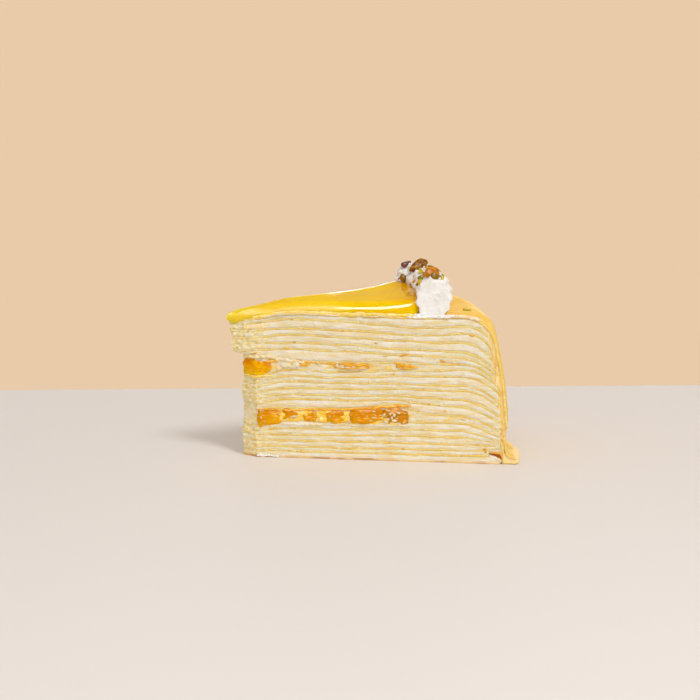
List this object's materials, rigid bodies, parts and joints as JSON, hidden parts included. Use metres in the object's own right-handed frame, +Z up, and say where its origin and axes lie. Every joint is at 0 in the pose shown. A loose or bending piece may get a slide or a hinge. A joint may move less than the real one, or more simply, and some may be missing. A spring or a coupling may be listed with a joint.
{
  "type": "mango crepe cake slice",
  "caption": "Wedge of layered crepe cake with whipped cream and mango between its crepes, a poured mango glaze, and a piped cream border with pistachios.",
  "frame": {"origin": "bottom centre of the slice's bounding box, on the plane that the slice stands on", "axes": "+X from the slice's tip to its round rim, +Y from the near cut face to the far cut face, +Z up"},
  "size_m": [0.1222, 0.0752, 0.0832],
  "materials": {
    "crepe": "soft, moist, satin",
    "crepe_skin": "soft, lightly browned, satin",
    "crepe_bottom": "browned, satin",
    "cream": "soft, satin",
    "mango": "wet, translucent",
    "glaze": "high gloss, translucent",
    "whipped_cream": "soft, satin"
  },
  "bodies": {
    "root": {"crepe_01": "crepe_skin", "crepe_02": "crepe", "crepe_03": "crepe", "crepe_04": "crepe", "crepe_05": "crepe", "crepe_06": "crepe", "crepe_07": "crepe", "crepe_08": "crepe", "crepe_09": "crepe", "crepe_10": "crepe", "crepe_11": "crepe", "crepe_12": "crepe", "crepe_13": "crepe", "crepe_14": "crepe", "crepe_15": "crepe", "crepe_16": "crepe", "crepe_17": "crepe", "crepe_18": "crepe", "crepe_19": "crepe", "crepe_20": "crepe", "crepe_21": "crepe_bottom", "cream_01": "cream", "cream_02": "cream", "cream_03": "cream", "cream_04": "cream", "cream_05": "cream", "cream_06": "cream", "cream_07": "cream", "cream_08": "cream", "cream_09": "cream", "cream_10": "cream", "cream_11": "cream", "cream_12": "cream", "cream_13": "cream", "cream_14": "cream", "cream_15": "cream", "cream_16": "cream", "cream_17": "cream", "cream_18": "cream", "cream_19": "cream", "cream_20": "cream", "mango_01": "mango", "mango_02": "mango", "mango_03": "mango", "mango_04": "mango", "mango_05": "mango", "mango_06": "mango", "mango_07": "mango", "mango_08": "mango", "mango_09": "mango", "mango_10": "mango", "mango_11": "mango", "mango_12": "mango", "mango_13": "mango", "mango_14": "mango", "mango_15": "mango", "mango_16": "mango", "glaze": "glaze", "whipped_border": "whipped_cream"}
  },
  "joints": []
}
